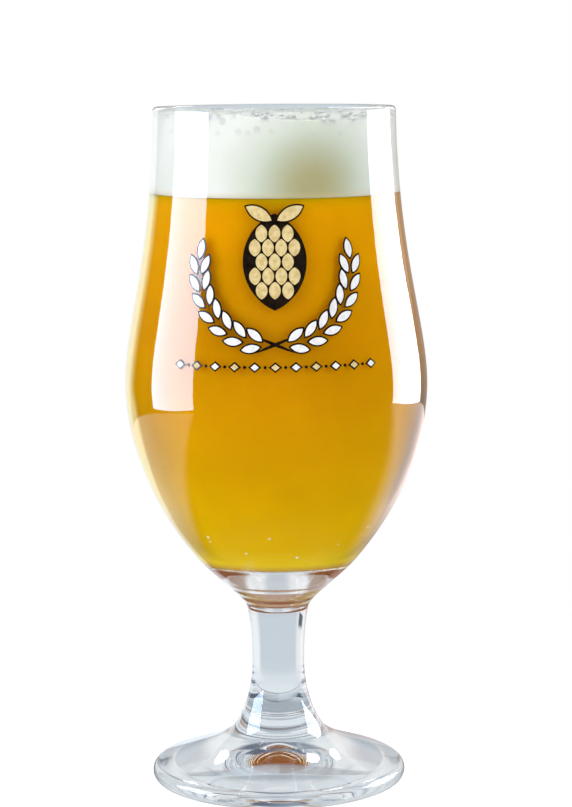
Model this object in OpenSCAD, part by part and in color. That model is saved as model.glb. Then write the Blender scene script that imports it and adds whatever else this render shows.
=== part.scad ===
// Stemmed tulip beer glass, filled, with a fired enamel print on the front of its bowl.
// The glass stands on Z = 0 with its axis on Z. The print faces -Y.

/* [Overall] */
// Height of the glass from the table to the rim
glass_h = 180; // [160:1:200]

/* [Bowl] */
// Outer diameter at the rim
rim_d = 63.6; // [58:0.2:70]
// Glass thickness at the fire-polished rim
rim_t = 2.1; // [1.6:0.1:2.6]
// Outer diameter at the widest place
belly_d = 80.2; // [74:0.2:86]
// Height of the widest place above the table
belly_z = 107; // [100:1:114]
// Glass thickness at the widest place
wall_t = 2.2; // [1.6:0.1:2.8]
// Outer diameter where the underside is steepest
flank_d = 42.2; // [38:0.2:46]
// Height of that place above the table
flank_z = 59.9; // [58:0.1:63]
// Height of the inner floor above the seam with the stem
floor_t = 14.4; // [12:0.1:16]
// Diameter of the level part of the inner floor
floor_d = 30; // [26:0.5:34]

/* [Stem] */
// Diameter of the seam with the bowl
neck_d = 16.2; // [15:0.1:18]
// Height of the seam with the bowl above the table
neck_z = 46.2; // [44:0.1:48]
// Diameter of the waist
waist_d = 14; // [12:0.1:15]
// Height of the waist above the table
waist_z = 31.4; // [28:0.1:34]
// Diameter of the seam with the foot
base_d = 27; // [24:0.1:30]

/* [Foot] */
// Diameter of the foot
foot_d = 68; // [62:0.5:76]
// Height of the seam with the stem above the table
foot_h = 12.3; // [10:0.1:14]
// Height of the edge where the sloping top begins
edge_h = 4.3; // [3.6:0.1:5.5]
// Width of the flat ring that rests on the table
rest_w = 5; // [3:0.1:7]
// Depth of the hollow under the foot
hollow_h = 5.7; // [4:0.1:8]

/* [Drink] */
// Distance from the rim down to the top of the beer
beer_drop = 22.5; // [12:0.5:40]
// Distance from the rim down to the foam along the wall
foam_drop = 1.5; // [1.2:0.1:4]
// Depth of the dish that the foam sinks into
foam_dish = 4.2; // [3:0.1:7]
// Diameter of the flat bottom of that dish
dish_d = 46; // [36:1:48]
// Width of the foam's level collar along the wall
collar_w = 1.2; // [0.8:0.1:2]

/* [Print] */
// Thickness of one layer of fired enamel
ink_t = 0.12; // [0.08:0.01:0.3]
// Height of the middle of the wreath above the table
print_z = 142; // [139:0.5:144]
// Radius of the wreath of barley ears
wreath_r = 20.4; // [19:0.1:21]
// Length of a grain
grain_l = 5.8; // [4:0.1:6]
// Width of a grain
grain_w = 2.7; // [1.8:0.1:2.8]
// Distance between pairs of grains along the ear
grain_pitch = 4.3; // [4:0.1:4.6]
// Distance from the ear's middle line to the middle of a grain
grain_side = 1.75; // [1.6:0.05:2]
// Lean of a grain from its ear
grain_lean = 24; // [15:1:32]
// Pairs of grains in an ear
grain_pairs = 7; // [4:1:8]
// Width of the black outlines
outline_w = 0.4; // [0.2:0.05:0.45]
// Length of the hop cone
hop_l = 24; // [20:0.2:25]
// Width of the hop cone
hop_w = 16; // [13:0.2:17]
// Length of one scale of the cone
scale_l = 4.3; // [3.6:0.1:5]
// Width of one scale of the cone
scale_w = 2.9; // [2.4:0.1:3.3]
// Length of a hop leaf
leaf_l = 8.4; // [5:0.1:9]
// Width of a hop leaf
leaf_w = 3.8; // [2.4:0.1:4]
// Lozenges in the row under the wreath
lozenge_count = 11; // [5:2:11]
// Distance between lozenges
lozenge_pitch = 4.7; // [4.4:0.1:5.2]
// Width of a lozenge
lozenge_w = 3.4; // [2.4:0.1:3.5]
// Height of a lozenge
lozenge_h = 2.7; // [1.6:0.1:3]
// Distance from the middle of the wreath down to the row of lozenges
lozenge_drop = 26; // [25:0.1:27]
// Diameter of the dots between the lozenges
dot_d = 0.8; // [0.5:0.05:0.9]

/* [Hidden] */
$fn = 128;
curve_steps = 22;

// Sizes of the turned outline
rim_r = rim_d / 2;
belly_r = belly_d / 2;
floor_r = floor_d / 2;
neck_r = neck_d / 2;
waist_r = waist_d / 2;
base_r = base_d / 2;
foot_r = foot_d / 2;
rim_z = glass_h - rim_t / 2;
floor_z = neck_z + floor_t;
beer_z = glass_h - beer_drop;
foam_z = glass_h - foam_drop;
dish_z = foam_z - foam_dish;

// Lean of the outline at its joints, as run over rise
rim_lean_share = 0.017;
flank_lean_share = 0.85;
neck_lean_share = 0.177;
base_lean_share = 1.4;
slope_lean_share = 2.87;

// Lengths of the handles that shape the curves between those joints
rim_pull = 38.6;
belly_pull_up = 16;
belly_pull_down = 8.7;
flank_pull_up = 25.3;
flank_pull_down = 6.6;
neck_pull_up = 3.5;
neck_pull_down = 5.4;
waist_pull_up = 5.7;
waist_pull_down = 8;
base_pull_up = 4.2;
base_pull_down = 4.6;
slope_pull = 11.4;
inside_pull_down = 13;
floor_pull = 8.5;

// Rounded edge and hollow of the foot
edge_inset = 1.95;
edge_mid_z = 2;
rest_inset = 1.5;
rest_r = foot_r - rest_inset;
hollow_r = rest_r - rest_w;
hollow_round = 2.9;
hollow_pull_share = 0.5;
round_share = 0.55;

// Places of the print's figures
first_grain_angle = 15;
pitch_angle = grain_pitch / wreath_r * 180 / PI;
tip_share = 0.9;
tip_angle = first_grain_angle + (grain_pairs - 1 + tip_share) * pitch_angle;
stalk_l = 2 * grain_l;
stalk_lean = 68;
scale_step_u = scale_w + outline_w;
scale_row_share = 0.82;
scale_step_v = scale_row_share * scale_l;
leaf_lean = 62;
leaf_out_share = 0.5;

// Unit vector up a slope, from its run over rise
function up_slope(lean) = [lean, 1] / norm([lean, 1]);

// Point on a cubic curve, and the curve as a row of points
function bezier(a, b, c, d, t) =
    pow(1 - t, 3) * a + 3 * t * pow(1 - t, 2) * b + 3 * t * t * (1 - t) * c + pow(t, 3) * d;
function curve(a, b, c, d) = [for (i = [0:curve_steps]) bezier(a, b, c, d, i / curve_steps)];
function backwards(points) = [for (i = [len(points) - 1:-1:0]) points[i]];

// Joints of the outer outline, from the rim down
rim_at = [rim_r, rim_z];
belly_at = [belly_r, belly_z];
flank_at = [flank_d / 2, flank_z];
neck_at = [neck_r, neck_z];
waist_at = [waist_r, waist_z];
base_at = [base_r, foot_h];
edge_at = [foot_r - edge_inset, edge_h];

upper_wall = curve(
    rim_at,
    rim_at + rim_pull * [rim_lean_share, -1],
    belly_at + [0, belly_pull_up],
    belly_at
);
lower_wall = curve(
    belly_at,
    belly_at - [0, belly_pull_down],
    flank_at + flank_pull_up * up_slope(flank_lean_share),
    flank_at
);
neck_curve = curve(
    flank_at,
    flank_at - flank_pull_down * up_slope(flank_lean_share),
    neck_at + neck_pull_up * up_slope(neck_lean_share),
    neck_at
);
upper_stem = curve(
    neck_at,
    neck_at - neck_pull_down * up_slope(neck_lean_share),
    waist_at + [0, waist_pull_up],
    waist_at
);
lower_stem = curve(
    waist_at,
    waist_at - [0, waist_pull_down],
    base_at + base_pull_up * up_slope(-base_lean_share),
    base_at
);
foot_slope = curve(
    base_at,
    base_at - base_pull_down * up_slope(-base_lean_share),
    edge_at + slope_pull * up_slope(-slope_lean_share),
    edge_at
);

// Rounded edge of the foot, from the slope to the resting ring
edge_side_at = [foot_r, edge_mid_z];
rest_at = [rest_r, 0];
upper_edge = curve(
    edge_at,
    edge_at - edge_inset * round_share * up_slope(-slope_lean_share),
    edge_side_at + [0, (edge_h - edge_mid_z) * round_share],
    edge_side_at
);
lower_edge = curve(
    edge_side_at,
    edge_side_at - [0, edge_mid_z * round_share],
    rest_at + [rest_inset * round_share, 0],
    rest_at
);

// Hollow under the foot, a shallow cone with a rounded top, from its rim to the axis
hollow_rim_at = [hollow_r, 0];
hollow_tip_at = [hollow_round, hollow_h];
hollow = curve(
    hollow_rim_at,
    hollow_rim_at + hollow_pull_share * (hollow_tip_at - hollow_rim_at),
    hollow_tip_at,
    [0, hollow_h]
);

// Inner outline of the bowl, from the rim down to the floor
lip_at = rim_at - [rim_t, 0];
belly_in_at = belly_at - [wall_t, 0];
rim_round = [
    for (i = [1:curve_steps - 1])
        rim_at + rim_t / 2 * [cos(180 * i / curve_steps) - 1, sin(180 * i / curve_steps)]
];
inner_wall = concat(
    curve(
        lip_at,
        lip_at + rim_pull * [rim_lean_share, -1],
        belly_in_at + [0, belly_pull_up],
        belly_in_at
    ),
    curve(
        belly_in_at,
        belly_in_at - [0, inside_pull_down],
        [floor_r + floor_pull, floor_z],
        [floor_r, floor_z]
    ),
    [[0, floor_z]]
);

// Half section of all that the bowl can hold, up to the rim
module cavity_section() {
    polygon(concat([[0, rim_z]], inner_wall));
}

// Blown bowl: a thin shell with a rounded rim and a thick floor
module bowl() {
    outside = concat(backwards(neck_curve), backwards(lower_wall), backwards(upper_wall));
    color("aliceblue", 0.35)
        rotate_extrude()
            polygon(concat([[0, neck_z]], outside, rim_round, inner_wall));
}

// Solid waisted stem, fused to the bowl above and the foot below
module stem() {
    color("lightsteelblue", 0.45)
        rotate_extrude()
            polygon(concat([[0, neck_z]], upper_stem, lower_stem, [[0, foot_h]]));
}

// Pressed disc with a sloping top, a rounded edge and a hollow underside
module foot() {
    color("lightsteelblue", 0.45)
        rotate_extrude()
            polygon(concat([[0, foot_h]], foot_slope, upper_edge, lower_edge, hollow));
}

// Drink, as far up as the foam
module beer() {
    color("goldenrod")
        rotate_extrude()
            intersection() {
                cavity_section();
                square([belly_r, beer_z]);
            }
}

// Froth on the drink, higher along the wall than in its dished middle
module foam_head() {
    dish_r = dish_d / 2;
    collar_r = rim_r - rim_t - collar_w;
    mid_r = (dish_r + collar_r) / 2;
    dish_curve = curve([dish_r, dish_z], [mid_r, dish_z], [mid_r, foam_z], [collar_r, foam_z]);
    color("ivory")
        rotate_extrude()
            difference() {
                intersection() {
                    cavity_section();
                    translate([0, beer_z])
                        square([belly_r, foam_z - beer_z]);
                }
                polygon(concat([[0, glass_h], [0, dish_z]], dish_curve, [[collar_r, glass_h]]));
            }
}

// Thin skin of enamel on the whole upper wall, which one layer of the print is cut from
module ink_skin(layer) {
    skin = [for (p = upper_wall) p + [layer * ink_t, 0]];
    rotate_extrude()
        polygon(concat(skin, [for (p = backwards(skin)) p + [ink_t, 0]]));
}

// Carries a flat shape to the front of the bowl: u runs round it, v up from the wreath's middle
module on_bowl(u, v, turn = 0) {
    wrap_r = (rim_r + belly_r) / 2;
    rotate([0, 0, u / wrap_r * 180 / PI])
        translate([0, -rim_r / 2, print_z + v])
            rotate([90, 0, 0])
                linear_extrude(belly_r)
                    rotate(turn)
                        children();
}

// Radius of the two arcs of a pointed oval
function oval_arc_r(length, width) = (length * length + width * width) / (4 * width);

// Pointed oval, long in Y, drawn in all round by an inset
module pointed_oval(length, width, inset = 0) {
    arc_r = oval_arc_r(length, width);
    intersection() {
        translate([arc_r - width / 2, 0])
            circle(arc_r - inset);
        translate([width / 2 - arc_r, 0])
            circle(arc_r - inset);
    }
}

module lozenge(width, height, inset = 0) {
    grow = 1 - inset * norm([width, height]) * 2 / (width * height);
    polygon(grow / 2 * [[width, 0], [0, height], [-width, 0], [0, -height]]);
}

// Every grain of both ears, along the wreath's arc from the crossing up to the tips
module grains(inset) {
    for (side = [-1, 1]) {
        for (i = [0:grain_pairs - 1]) {
            for (row = [-1, 1]) {
                angle = first_grain_angle + i * pitch_angle;
                reach = wreath_r + row * grain_side;
                turn = angle - 90 - row * grain_lean;
                on_bowl(side * reach * sin(angle), -reach * cos(angle), side * turn)
                    pointed_oval(grain_l, grain_w, inset);
            }
        }
        on_bowl(side * wreath_r * sin(tip_angle), -wreath_r * cos(tip_angle), side * (tip_angle - 90))
            pointed_oval(grain_l, grain_w, inset);
    }
}

// Stalks of the two ears, which cross under the cone
module stalks() {
    for (side = [-1, 1]) {
        on_bowl(0, -wreath_r, side * stalk_lean)
            pointed_oval(stalk_l, 2 * outline_w);
    }
}

// Lozenges of the lower row: the even ones, or the odd ones
module lozenges(parity, inset) {
    half = (lozenge_count - 1) / 2;
    for (i = [-half:half]) {
        if (abs(i) % 2 == parity) {
            on_bowl(i * lozenge_pitch, -lozenge_drop)
                lozenge(lozenge_w, lozenge_h, inset);
        }
    }
}

// Dots between the lozenges
module dots() {
    gaps = lozenge_count - 1;
    for (i = [1:gaps]) {
        on_bowl((i - (gaps + 1) / 2) * lozenge_pitch, -lozenge_drop)
            circle(d = dot_d);
    }
}

// Scales of the hop cone, staggered row by row, as many as its outline has room for
module cone_scales() {
    arc_r = oval_arc_r(hop_l, hop_w);
    room_r = arc_r - scale_w / 2 - outline_w;
    rows = floor(hop_l / 2 / scale_step_v);
    columns = ceil(hop_w / 2 / scale_step_u);
    on_bowl(0, 0) {
        for (row = [-rows:rows]) {
            for (column = [-columns:columns]) {
                u = (column + abs(row) % 2 / 2) * scale_step_u;
                v = row * scale_step_v;
                if (norm([abs(u) + arc_r - hop_w / 2, v]) < room_r) {
                    translate([u, v])
                        pointed_oval(scale_l, scale_w);
                }
            }
        }
    }
}

// Two leaves at the top of the cone
module leaves(inset) {
    for (side = [-1, 1]) {
        on_bowl(side * leaf_l * leaf_out_share, hop_l / 2, -side * leaf_lean)
            pointed_oval(leaf_l, leaf_w, inset);
    }
}

// Black enamel, fired first: the ground of every figure, the stalks and the dots
module print_black() {
    color("black")
        intersection() {
            ink_skin(0);
            union() {
                grains(0);
                stalks();
                on_bowl(0, 0)
                    pointed_oval(hop_l, hop_w);
                leaves(0);
                lozenges(0, 0);
                lozenges(1, 0);
                dots();
            }
        }
}

// White enamel over the black: the grains and every second lozenge
module print_white() {
    color("white")
        intersection() {
            ink_skin(1);
            union() {
                grains(outline_w);
                lozenges(1, outline_w);
            }
        }
}

// Cream enamel over the black: the scales of the cone, its leaves and the other lozenges
module print_cream() {
    color("wheat")
        intersection() {
            ink_skin(1);
            union() {
                cone_scales();
                leaves(outline_w);
                lozenges(0, outline_w);
            }
        }
}

bowl();
stem();
foot();
beer();
foam_head();
print_white();
print_cream();
print_black();
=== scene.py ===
import math

import bpy
from mathutils import Matrix, Vector


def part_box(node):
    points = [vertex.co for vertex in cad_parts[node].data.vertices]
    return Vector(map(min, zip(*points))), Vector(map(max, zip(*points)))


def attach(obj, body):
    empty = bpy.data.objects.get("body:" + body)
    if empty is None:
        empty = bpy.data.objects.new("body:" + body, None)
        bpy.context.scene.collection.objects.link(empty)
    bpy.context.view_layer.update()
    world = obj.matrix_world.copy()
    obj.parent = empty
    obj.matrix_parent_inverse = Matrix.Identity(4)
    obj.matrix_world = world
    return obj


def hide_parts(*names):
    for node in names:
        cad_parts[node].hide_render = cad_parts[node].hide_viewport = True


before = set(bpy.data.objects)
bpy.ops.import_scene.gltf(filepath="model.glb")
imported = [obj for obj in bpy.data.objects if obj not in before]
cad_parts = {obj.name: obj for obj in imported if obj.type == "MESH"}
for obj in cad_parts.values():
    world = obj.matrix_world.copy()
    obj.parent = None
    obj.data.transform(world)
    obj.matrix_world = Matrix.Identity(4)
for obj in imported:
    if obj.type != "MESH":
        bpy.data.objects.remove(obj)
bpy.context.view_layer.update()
scene = bpy.context.scene
mm = 0.001
print("frame loaded:", ", ".join(sorted(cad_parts)))


def linear(hexColor):
    parts = [int(hexColor[i:i + 2], 16) / 255 for i in (1, 3, 5)]
    return [p / 12.92 if p <= 0.04045 else ((p + 0.055) / 1.055) ** 2.4 for p in parts] + [1.0]


def metres(lengths):
    return [length * mm for length in lengths]


def addNode(tree, kind, inputs=(), **settings):
    # inputs go by socket name or number, or in the order of the sockets
    node = tree.nodes.new(kind)
    for name, value in settings.items():
        setattr(node, name, value)
    pairs = inputs.items() if isinstance(inputs, dict) else enumerate(inputs)
    for socket, value in pairs:
        if isinstance(value, bpy.types.NodeSocket):
            tree.links.new(value, node.inputs[socket])
        else:
            node.inputs[socket].default_value = value
    return node


def newMaterial(name):
    material = bpy.data.materials.new(name)
    material.use_nodes = True
    material.node_tree.nodes.clear()
    return material, material.node_tree


def newTree(name, inputs, output):
    tree = bpy.data.node_groups.new(name, "GeometryNodeTree")
    tree.is_modifier = True
    for kind, sockets in inputs.items():
        for socket in sockets:
            tree.interface.new_socket(socket, in_out="INPUT", socket_type="NodeSocket" + kind)
    tree.interface.new_socket(output, in_out="OUTPUT", socket_type="NodeSocketGeometry")
    return tree


def fillRamp(ramp, stops):
    elements = ramp.color_ramp.elements
    while len(elements) < len(stops):
        elements.new(0.5)
    for element, (place, color) in zip(elements, stops):
        element.position = place
        element.color = linear(color)


def blend(tree, value, start, end, low, high):
    # a soft change from one colour to another as a value grows
    turn = addNode(tree, "ShaderNodeMapRange", (value, start, end), interpolation_type="SMOOTHSTEP")
    mix = addNode(tree, "ShaderNodeMix", {0: turn.outputs["Result"], 6: low, 7: high}, data_type="RGBA")
    return mix.outputs[2]


# Camera: solved from the ellipses of the rim and the foot in a frame of 572 x 807 pixels
cameraSetting = dict(
    away=649.8,      # mm from the axis of the glass
    aside=2.58,      # mm to the right of it
    height=192.5,    # mm above the table
    pitch=7.98,      # degrees down
    roll=-0.39,      # degrees, the glass leans a little to the left
    lens=110.06,     # mm
    sensor=36,       # mm tall
)


def makeCamera(size):
    data = bpy.data.cameras.new("camera")
    data.sensor_fit = "VERTICAL"
    data.sensor_height = size["sensor"]
    data.lens = size["lens"]
    camera = bpy.data.objects.new("camera", data)
    scene.collection.objects.link(camera)
    place = Vector((size["aside"], -size["away"], size["height"])) * mm
    tip = Matrix.Rotation(math.radians(90 - size["pitch"]), 4, "X")
    roll = Matrix.Rotation(math.radians(size["roll"]), 4, "Z")
    camera.matrix_world = Matrix.Translation(place) @ tip @ roll
    scene.camera = camera


makeCamera(cameraSetting)


# Materials

glassIor = 1.52    # soda-lime glass
beerIor = 1.34
waveDepth = 0.01   # mm, the faint wave of drawn and blown glass


def makeClearGlass(name, tint, waveSize, ior=glassIor, rings=None):
    # polished soda-lime glass: colourless where thin, grey-blue where thick, with a faint drawn wave
    material, tree = newMaterial(name)
    where = addNode(tree, "ShaderNodeTexCoord").outputs["Object"]
    height = addNode(tree, "ShaderNodeSeparateXYZ", {"Vector": where}).outputs["Z"]
    wave = addNode(tree, "ShaderNodeTexNoise", {
        "Vector": where, "Scale": 1 / (waveSize * mm), "Detail": 1.0}).outputs["Fac"]
    relief = addNode(tree, "ShaderNodeMath", (wave, waveDepth), operation="MULTIPLY").outputs[0]
    if rings:
        # shallow rings that the forming leaves round the neck
        phase = math.tau / (rings["pitch"] * mm)
        turn = addNode(tree, "ShaderNodeMath", (height, phase), operation="MULTIPLY").outputs[0]
        ring = addNode(tree, "ShaderNodeMath", (turn,), operation="SINE").outputs[0]
        depth = addNode(tree, "ShaderNodeMapRange", (
            height, rings["low"] * mm, rings["high"] * mm, rings["depth"], 0.0),
            interpolation_type="SMOOTHSTEP").outputs["Result"]
        relief = addNode(tree, "ShaderNodeMath", (ring, depth, relief), operation="MULTIPLY_ADD").outputs[0]
    bump = addNode(tree, "ShaderNodeBump", {"Height": relief, "Strength": 1.0, "Distance": mm})
    skin = addNode(tree, "ShaderNodeBsdfPrincipled", {
        "Base Color": linear(tint), "Transmission Weight": 1.0, "IOR": ior, "Roughness": 0.0,
        "Normal": bump.outputs["Normal"]})
    addNode(tree, "ShaderNodeOutputMaterial", {"Surface": skin.outputs["BSDF"]})
    return material


def makeFusedSeam():
    # hot glass melts into one at a seam, so nothing shows there
    material, tree = newMaterial("fused glass seam")
    clear = addNode(tree, "ShaderNodeBsdfTransparent")
    addNode(tree, "ShaderNodeOutputMaterial", {"Surface": clear.outputs["BSDF"]})
    return material


# Four numbers are a range and what it turns into, two are a range alone
beerLook = dict(
    depth=[(0.0, "#F2D42A"), (0.07, "#E4B800"), (0.3, "#DAA400"), (0.62, "#D69400"), (1.0, "#ECA600")],
    hazeSize=14, haze=(0.3, 0.7, 0.95, 1.05),                    # mm, and the strength of the colour in it
    bend=1.27,        # how much the glass turns the line of sight
    lookDown=0.17,    # share of the wall's tilt that the view takes up
    leftTurn=(0.74, 0.51), rightTurn=(0.54, 0.2),                # where shade sets in as a side turns away
    leftShade=(0.4, 0.6, 0.82, 1.0), rightShade=(0.4, 0.6, 0.2, 0.6),      # how deep it gets, by height
    leftLow=(0.15, 0.35, 0.76, 1.0), rightLow=(0.05, 0.3, 0.62, 0.0),      # and low down
    right=(0.2, 0.6), wall=(-0.74, -0.6),                        # by the way that the surface faces
    # painted shade: brown tones for the drink's underside and for its back low down
    behind=(0.2, 0.5), behindSteep=(-0.42, -0.55), behindShadeTone="#D0A48E",
    below=(-0.75, -0.97), belowShadeTone="#AC6E44",
    left=(-0.2, -0.6, 0.0, 0.8), narrow=(0.1, 0.45, 0.17, -0.03), strip=(0.33, 0.21), stripLightTone="#FFE9A0",
    # the bubble entries here set painted glints, small pale specks low down
    bubbleGap=5, bubble=(0.06, 0.1, 0.7, 0.0), glintLow=(0.14, 0.1), glintTone="#FFF8E8",    # mm
    scatter=(1.0, 0.7, 0.2), scatterDepth=7,                     # mm
)


def makeHazyBeer(low, high, look):
    # unfiltered amber beer: cloudy, so light spreads in it, more yellow where the bowl narrows, with painted
    # shade deeper towards its sides, most on the right, a painted pale strip of light at its left edge,
    # painted brown shade from below and from behind low down, and painted glints low down
    material, tree = newMaterial("hazy amber beer")
    where = addNode(tree, "ShaderNodeTexCoord").outputs["Object"]
    height = addNode(tree, "ShaderNodeSeparateXYZ", {"Vector": where}).outputs["Z"]
    share = addNode(tree, "ShaderNodeMapRange", (height, low * mm, high * mm)).outputs["Result"]
    depth = addNode(tree, "ShaderNodeValToRGB", {"Fac": share})
    fillRamp(depth, look["depth"])
    haze = addNode(tree, "ShaderNodeTexNoise", {
        "Vector": where, "Scale": 1 / (look["hazeSize"] * mm), "Detail": 4.0}).outputs["Fac"]
    cloud = addNode(tree, "ShaderNodeMapRange", (haze, *look["haze"])).outputs["Result"]
    # how far a spot turns aside from the view: the angle before the glass bent it, less the wall's tilt
    edge = addNode(tree, "ShaderNodeLayerWeight", {"Blend": 0.5}).outputs["Facing"]
    surface = addNode(tree, "ShaderNodeNewGeometry").outputs["Normal"]
    normal = addNode(tree, "ShaderNodeSeparateXYZ", {"Vector": surface}).outputs
    bend = look["bend"] ** 2
    facing = addNode(tree, "ShaderNodeMath", (1.0, edge), operation="SUBTRACT").outputs[0]
    bent = addNode(tree, "ShaderNodeMath", (facing, facing), operation="MULTIPLY").outputs[0]
    unbent = addNode(tree, "ShaderNodeMath", (bent, bend, 1 - bend), operation="MULTIPLY_ADD").outputs[0]
    outside = addNode(tree, "ShaderNodeMath", (unbent,), operation="SQRT").outputs[0]
    tilt = addNode(tree, "ShaderNodeMath", (normal["Z"], look["lookDown"]), operation="MULTIPLY").outputs[0]
    upright = addNode(tree, "ShaderNodeMath", (outside, tilt), operation="SUBTRACT").outputs[0]
    rise = addNode(tree, "ShaderNodeMath", (normal["Z"], normal["Z"]), operation="MULTIPLY").outputs[0]
    run = addNode(tree, "ShaderNodeMath", (1.0, rise), operation="SUBTRACT").outputs[0]
    level = addNode(tree, "ShaderNodeMath", (run,), operation="SQRT").outputs[0]
    front = addNode(tree, "ShaderNodeMath", (upright, level), operation="DIVIDE").outputs[0]
    # painted shade on both sides, darker on the right; the rounded edge of the floor keeps the plain colour
    leftMost, rightMost, leftLow, rightLow, narrow, lowDown = [
        addNode(tree, "ShaderNodeMapRange", (share, *look[name])).outputs["Result"]
        for name in ("leftShade", "rightShade", "leftLow", "rightLow", "narrow", "glintLow")]
    leftMost = addNode(tree, "ShaderNodeMath", (leftMost, leftLow), operation="MINIMUM").outputs[0]
    rightMost = addNode(tree, "ShaderNodeMath", (rightMost, rightLow), operation="MAXIMUM").outputs[0]
    leftShadeFactor, dark = [addNode(tree, "ShaderNodeMapRange", (front, *look[turn], 1.0, most)).outputs["Result"]
                  for turn, most in (("leftTurn", leftMost), ("rightTurn", rightMost))]
    right = addNode(tree, "ShaderNodeMapRange", (normal["X"], *look["right"])).outputs["Result"]
    wall = addNode(tree, "ShaderNodeMapRange", (normal["Z"], *look["wall"])).outputs["Result"]
    side = addNode(tree, "ShaderNodeMix", {0: right, 2: leftShadeFactor, 3: dark}).outputs[0]
    side = addNode(tree, "ShaderNodeMix", {0: wall, 2: 1.0, 3: side}).outputs[0]
    strength = addNode(tree, "ShaderNodeMath", (cloud, side), operation="MULTIPLY").outputs[0]
    color = addNode(tree, "ShaderNodeMix", {0: 1.0, 6: depth.outputs["Color"], 7: strength},
                    data_type="RGBA", blend_type="MULTIPLY").outputs[2]
    # painted shade: brown from below and from behind, low down, where little light reaches the drink
    below = addNode(tree, "ShaderNodeMapRange", (normal["Z"], *look["below"])).outputs["Result"]
    steep = addNode(tree, "ShaderNodeMapRange", (normal["Z"], *look["behindSteep"])).outputs["Result"]
    behind = addNode(tree, "ShaderNodeMapRange", (normal["Y"], *look["behind"], 0.0, steep)).outputs["Result"]
    # painted light: a pale strip where light from the left passes the edge, narrowing downwards
    left = addNode(tree, "ShaderNodeMapRange", (normal["X"], *look["left"])).outputs["Result"]
    turned = addNode(tree, "ShaderNodeMath", (front, narrow), operation="ADD").outputs[0]
    strip = addNode(tree, "ShaderNodeMapRange", (turned, *look["strip"], 0.0, left),
                    interpolation_type="SMOOTHSTEP").outputs["Result"]
    strip = addNode(tree, "ShaderNodeMath", (strip, wall), operation="MULTIPLY").outputs[0]
    # painted glints: a few small pale specks low down on the drink, standing in for glints on the glass
    glintSpots = addNode(tree, "ShaderNodeTexVoronoi", {
        "Vector": where, "Scale": 1 / (look["bubbleGap"] * mm)}).outputs["Distance"]
    bubble = addNode(tree, "ShaderNodeMapRange", (glintSpots, *look["bubble"])).outputs["Result"]
    bubble = addNode(tree, "ShaderNodeMath", (bubble, lowDown), operation="MULTIPLY").outputs[0]
    for cover, tone in ((behind, "behindShadeTone"), (below, "belowShadeTone"), (strip, "stripLightTone"),
                        (bubble, "glintTone")):
        color = addNode(tree, "ShaderNodeMix", {0: cover, 6: color, 7: linear(look[tone])},
                        data_type="RGBA").outputs[2]
    skin = addNode(tree, "ShaderNodeBsdfPrincipled", {
        "Base Color": color, "Roughness": 0.5, "IOR": beerIor, "Specular IOR Level": 0.0,
        "Subsurface Weight": 1.0, "Subsurface Radius": look["scatter"],
        "Subsurface Scale": look["scatterDepth"] * mm})
    addNode(tree, "ShaderNodeOutputMaterial", {"Surface": skin.outputs["BSDF"]})
    return material


foamLook = dict(
    patchSize=22, patch=[(0.35, "#E6E9E0"), (0.6, "#F0F1ED")],          # mm
    shadeSpotAt=(9, -28, 3),                                                 # mm, its height above the drink
    veil=(8, 25), shadeVeilTone="#CCD4C2", cast=(2, 15), shadeCastTone="#B5AF84", # mm from there
    drain=2, drainShare=0.4, drainAndGlowTone="#E4CE9A",                       # mm
    discGap=2.8, disc=(0.26, 0.44, 0.25, 0.0), discShare=0.5,           # mm
    discBand=(6, 3.2), discTone="#8F9694",                              # mm below the top
    bubbleSize=0.5, bubbleDepth=0.12,                                   # mm
    scatter=(1.0, 0.95, 0.8), scatterDepth=2,                           # mm
)


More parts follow.
